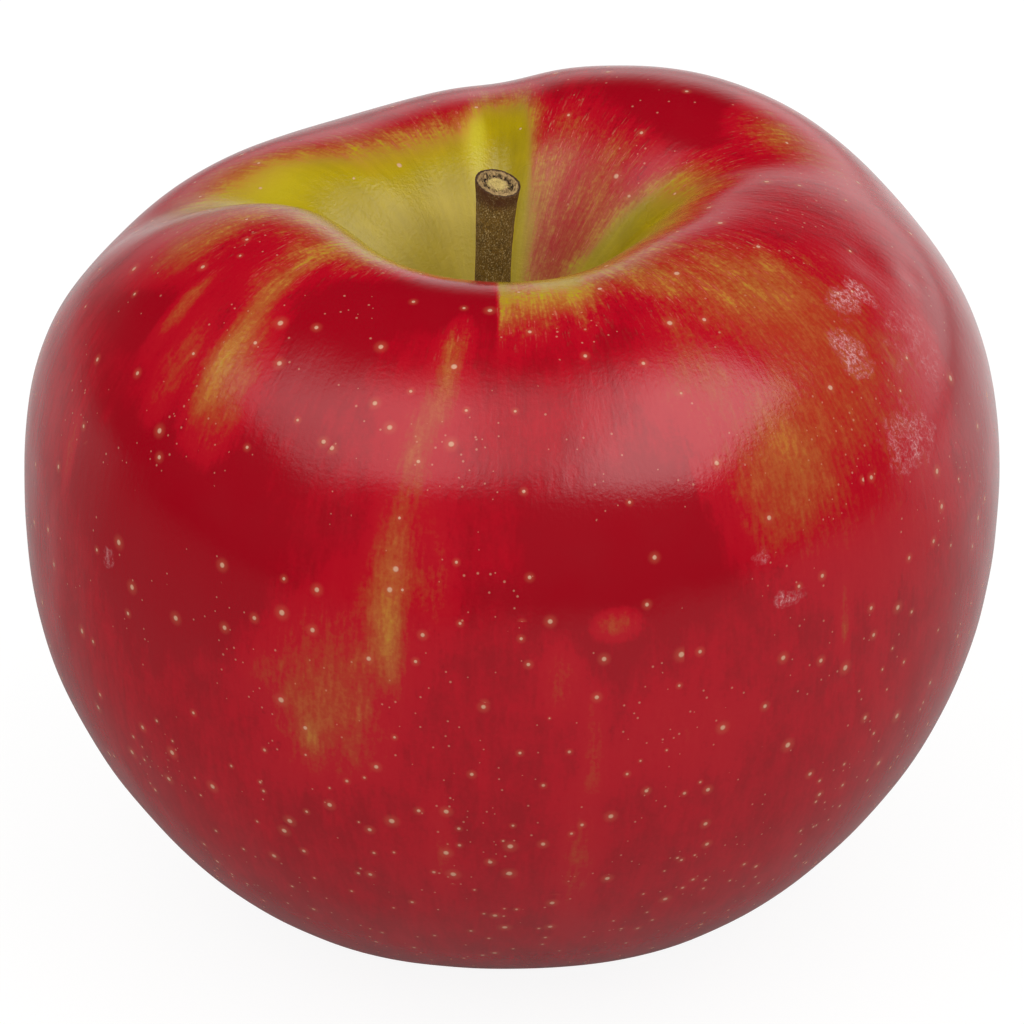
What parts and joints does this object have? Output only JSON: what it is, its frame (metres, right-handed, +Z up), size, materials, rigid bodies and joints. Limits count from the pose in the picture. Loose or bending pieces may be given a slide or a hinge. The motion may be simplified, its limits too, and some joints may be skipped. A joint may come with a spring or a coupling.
{
  "type": "red apple",
  "caption": "Large round red apple with a woody stem in a yellow cavity and dried sepals in the basin below.",
  "frame": {"origin": "on the surface that the apple stands on, under the middle of its outline", "axes": "+Z up along the core towards the stem; -Y is the side that faces the viewer; the highest shoulder is at +X +Y"},
  "size_m": [0.0843, 0.0842, 0.0686],
  "materials": {
    "skin": "waxy glossy red skin over yellow, streaked and dotted",
    "stem_bark": "rough speckled bark",
    "dried_sepal": "dry, hairy, dull",
    "dried_stamen": "dry and dull"
  },
  "bodies": {
    "root": {"fruit": "skin", "stem": "stem_bark", "sepal_1": "dried_sepal", "sepal_2": "dried_sepal", "sepal_3": "dried_sepal", "sepal_4": "dried_sepal", "sepal_5": "dried_sepal", "stamen_tuft": "dried_stamen"}
  },
  "joints": []
}
